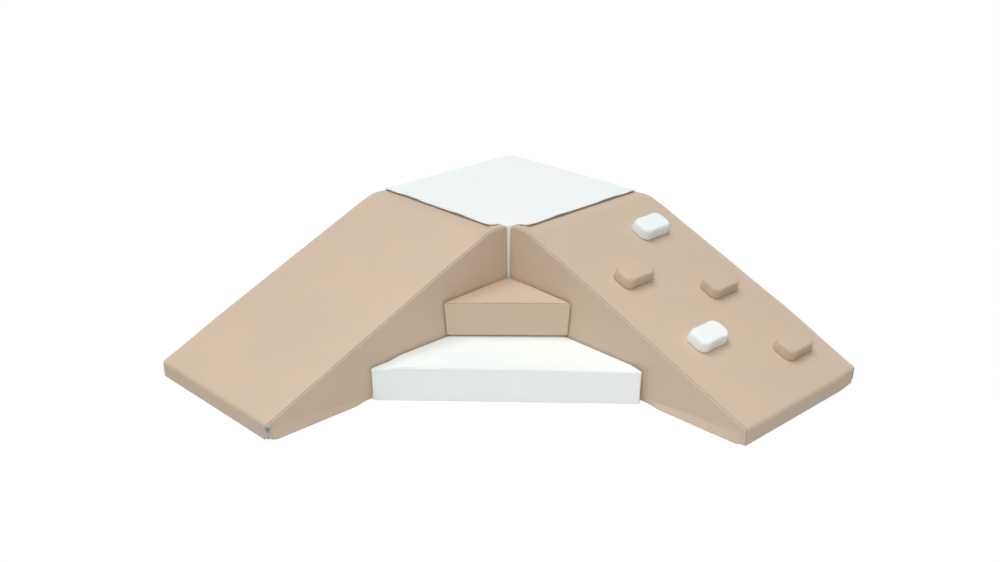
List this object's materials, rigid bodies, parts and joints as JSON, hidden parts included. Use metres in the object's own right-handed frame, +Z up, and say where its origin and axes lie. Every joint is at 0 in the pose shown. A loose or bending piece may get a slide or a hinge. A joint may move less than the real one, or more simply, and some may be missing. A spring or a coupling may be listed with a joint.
{
  "type": "foam climbing set",
  "caption": "Soft corner climbing set: padded square platform, sliding ramp, climbing ramp with stick-on holds, and two triangular steps in the corner between the ramps.",
  "frame": {"origin": "centre of the bounding box's underside, on the floor", "axes": "+Z up; -Y towards the steps and the viewer; +X across, from the sliding ramp to the climbing ramp"},
  "size_m": [2.1864, 1.4966, 0.423],
  "materials": {
    "white_cover": "matt soft PU cover, white",
    "beige_cover": "matt soft PU cover, beige",
    "white_hold": "matt soft PU cover, white",
    "beige_hold": "matt soft PU cover, beige",
    "foam": "open-cell foam, cut faces",
    "base_fabric": "dotted non-slip fabric",
    "hook_tape": "hook tape",
    "loop_tape": "loop tape",
    "zip_tape": "woven zip tape, light grey",
    "zip_plastic": "satin plastic, grey"
  },
  "bodies": {
    "platform": {"platform_cover": "white_cover", "platform_foam_core": "foam", "platform_base_sheet": "base_fabric", "platform_zip": "zip_plastic"},
    "flap_left": {"flap_left": "white_cover", "flap_left_hook_strip": "hook_tape"},
    "flap_right": {"flap_right": "white_cover", "flap_right_hook_strip": "hook_tape"},
    "slide_ramp": {"slide_cover": "beige_cover", "slide_foam_core": "foam", "slide_base_sheet": "base_fabric", "slide_loop_strip": "loop_tape", "slide_zip_tape": "zip_tape", "slide_zip_teeth": "zip_plastic"},
    "climb_ramp": {"climb_cover": "beige_cover", "climb_foam_core": "foam", "climb_base_sheet": "base_fabric", "climb_loop_strip": "loop_tape", "climb_zip_tape": "zip_tape", "climb_zip_teeth": "zip_plastic", "climb_hold_loop_pads": "loop_tape"},
    "lower_step": {"lower_step_cover": "white_cover", "lower_step_foam_core": "foam", "lower_step_base_sheet": "base_fabric", "lower_step_zip": "zip_plastic", "lower_step_loop_pads": "loop_tape"},
    "upper_step": {"upper_step_cover": "beige_cover", "upper_step_foam_core": "foam", "upper_step_base_sheet": "base_fabric", "upper_step_zip": "zip_plastic", "upper_step_hook_pads": "hook_tape"},
    "hold_1": {"hold_1_cover": "white_hold", "hold_1_foam": "foam", "hold_1_hook_pad": "hook_tape"},
    "hold_2": {"hold_2_cover": "beige_hold", "hold_2_foam": "foam", "hold_2_hook_pad": "hook_tape"},
    "hold_3": {"hold_3_cover": "beige_hold", "hold_3_foam": "foam", "hold_3_hook_pad": "hook_tape"},
    "hold_4": {"hold_4_cover": "white_hold", "hold_4_foam": "foam", "hold_4_hook_pad": "hook_tape"},
    "hold_5": {"hold_5_cover": "beige_hold", "hold_5_foam": "foam", "hold_5_hook_pad": "hook_tape"},
    "platform_zip_slider": {"platform_zip_slider": "zip_plastic"},
    "slide_zip_slider": {"slide_zip_slider": "zip_plastic"},
    "climb_zip_slider": {"climb_zip_slider": "zip_plastic"},
    "lower_step_zip_slider": {"lower_step_zip_slider": "zip_plastic"},
    "upper_step_zip_slider": {"upper_step_zip_slider": "zip_plastic"},
    "slide_zip_pull": {"slide_zip_pull": "zip_plastic"},
    "climb_zip_pull": {"climb_zip_pull": "zip_plastic"}
  },
  "joints": [
    {"name": "flap_left_hinge", "type": "hinge", "parent": "platform", "child": "flap_left", "pos_m": [0.00008, -0.08986, 0.423], "axis": [-0.7071, 0.7071, 0], "range_deg": [0, 170]},
    {"name": "flap_right_hinge", "type": "hinge", "parent": "platform", "child": "flap_right", "pos_m": [0.00008, -0.08986, 0.423], "axis": [-0.7071, -0.7071, 0], "range_deg": [0, 170]},
    {"name": "slide_ramp_pull_away", "type": "slide", "parent": "platform", "child": "slide_ramp", "axis": [-0.7071, -0.7071, 0], "range_m": [0, 0.4]},
    {"name": "climb_ramp_pull_away", "type": "slide", "parent": "platform", "child": "climb_ramp", "axis": [0.7071, -0.7071, 0], "range_m": [0, 0.4]},
    {"name": "lower_step_pull_out", "type": "slide", "parent": "platform", "child": "lower_step", "axis": [0, -1, 0], "range_m": [0, 0.6]},
    {"name": "upper_step_lift_off", "type": "slide", "parent": "lower_step", "child": "upper_step", "axis": [0, 0, 1], "range_m": [0, 0.3]},
    {"name": "hold_1_pull_off", "type": "slide", "parent": "climb_ramp", "child": "hold_1", "axis": [0.2736, -0.2736, 0.9221], "range_m": [0, 0.1]},
    {"name": "hold_2_pull_off", "type": "slide", "parent": "climb_ramp", "child": "hold_2", "axis": [0.2736, -0.2736, 0.9221], "range_m": [0, 0.1]},
    {"name": "hold_3_pull_off", "type": "slide", "parent": "climb_ramp", "child": "hold_3", "axis": [0.2736, -0.2736, 0.9221], "range_m": [0, 0.1]},
    {"name": "hold_4_pull_off", "type": "slide", "parent": "climb_ramp", "child": "hold_4", "axis": [0.2736, -0.2736, 0.9221], "range_m": [0, 0.1]},
    {"name": "hold_5_pull_off", "type": "slide", "parent": "climb_ramp", "child": "hold_5", "axis": [0.2736, -0.2736, 0.9221], "range_m": [0, 0.1]},
    {"name": "slide_zip_run", "type": "slide", "parent": "slide_ramp", "child": "slide_zip_slider", "axis": [0, 0, -1], "range_m": [0, 0.012]},
    {"name": "slide_zip_pull_swing", "type": "hinge", "parent": "slide_zip_slider", "child": "slide_zip_pull", "pos_m": [-0.68249, -0.74527, 0.033], "axis": [-1, 0, 0], "range_deg": [0, 150]},
    {"name": "climb_zip_run", "type": "slide", "parent": "climb_ramp", "child": "climb_zip_slider", "axis": [0, 0, -1], "range_m": [0, 0.012]},
    {"name": "climb_zip_pull_swing", "type": "hinge", "parent": "climb_zip_slider", "child": "climb_zip_pull", "pos_m": [1.09036, -0.33756, 0.033], "axis": [0, -1, 0], "range_deg": [0, 150]},
    {"name": "platform_zip_run", "type": "slide", "parent": "platform", "child": "platform_zip_slider", "axis": [0.7071, 0.7071, 0], "range_m": [0, 0.44]},
    {"name": "lower_step_zip_run", "type": "slide", "parent": "lower_step", "child": "lower_step_zip_slider", "axis": [-0.7071, -0.7071, 0], "range_m": [0, 0.44]},
    {"name": "upper_step_zip_run", "type": "slide", "parent": "upper_step", "child": "upper_step_zip_slider", "axis": [-0.7071, -0.7071, 0], "range_m": [0, 0.12]}
  ]
}
